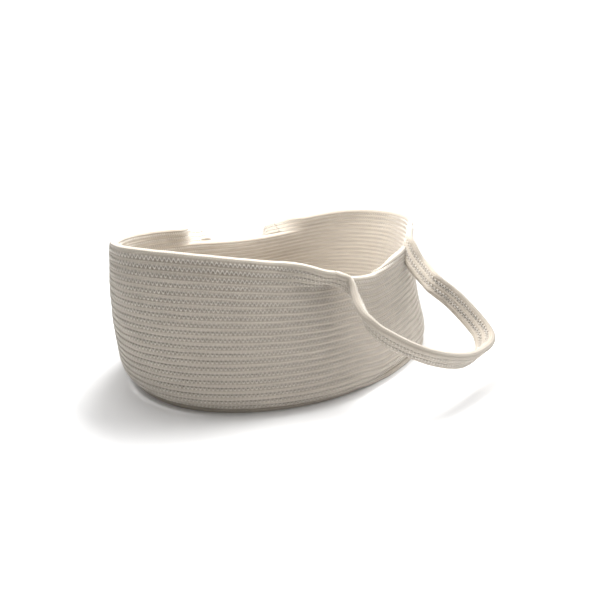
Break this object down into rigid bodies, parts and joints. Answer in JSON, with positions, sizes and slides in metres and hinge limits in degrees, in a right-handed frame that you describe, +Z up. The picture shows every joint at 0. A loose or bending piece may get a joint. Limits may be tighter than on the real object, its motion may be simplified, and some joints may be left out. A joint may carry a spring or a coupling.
{
  "type": "changing basket",
  "caption": "Open oval changing basket of coiled, stitched cotton rope with a low rim on each long side and two soft carrying loops that swing up over it.",
  "frame": {"origin": "on the ground under the middle of the basket, centre of the bounding box's bottom", "axes": "+X along the basket's length, -Y towards the near carrying loop, +Z up"},
  "size_m": [0.687, 0.7102, 0.23],
  "materials": {
    "cotton_floor": "undyed stitched cotton rope, matt",
    "cotton_wall": "undyed stitched cotton rope, matt",
    "cotton_rim": "undyed stitched cotton rope, matt",
    "cotton_loops": "undyed stitched cotton rope, matt"
  },
  "bodies": {
    "basket": {"floor_coil": "cotton_floor", "wall_coil": "cotton_wall", "left_rim_row_1": "cotton_rim", "left_rim_row_2": "cotton_rim", "left_rim_row_3": "cotton_rim", "right_rim_row_1": "cotton_rim", "right_rim_row_2": "cotton_rim", "right_rim_row_3": "cotton_rim"},
    "near_loop": {"near_loop_rope_1": "cotton_loops", "near_loop_rope_2": "cotton_loops", "near_loop_rope_3": "cotton_loops"},
    "far_loop": {"far_loop_rope_1": "cotton_loops", "far_loop_rope_2": "cotton_loops", "far_loop_rope_3": "cotton_loops"}
  },
  "joints": [
    {"name": "near_loop_swing", "type": "hinge", "parent": "basket", "child": "near_loop", "pos_m": [0.00416, -0.18762, 0.19384], "axis": [-0.9958, -0.0494, -0.0777], "range_deg": [0, 180]},
    {"name": "far_loop_swing", "type": "hinge", "parent": "basket", "child": "far_loop", "pos_m": [0.0056, 0.18388, 0.1927], "axis": [0.9985, -0.0223, -0.0493], "range_deg": [0, 180]}
  ]
}
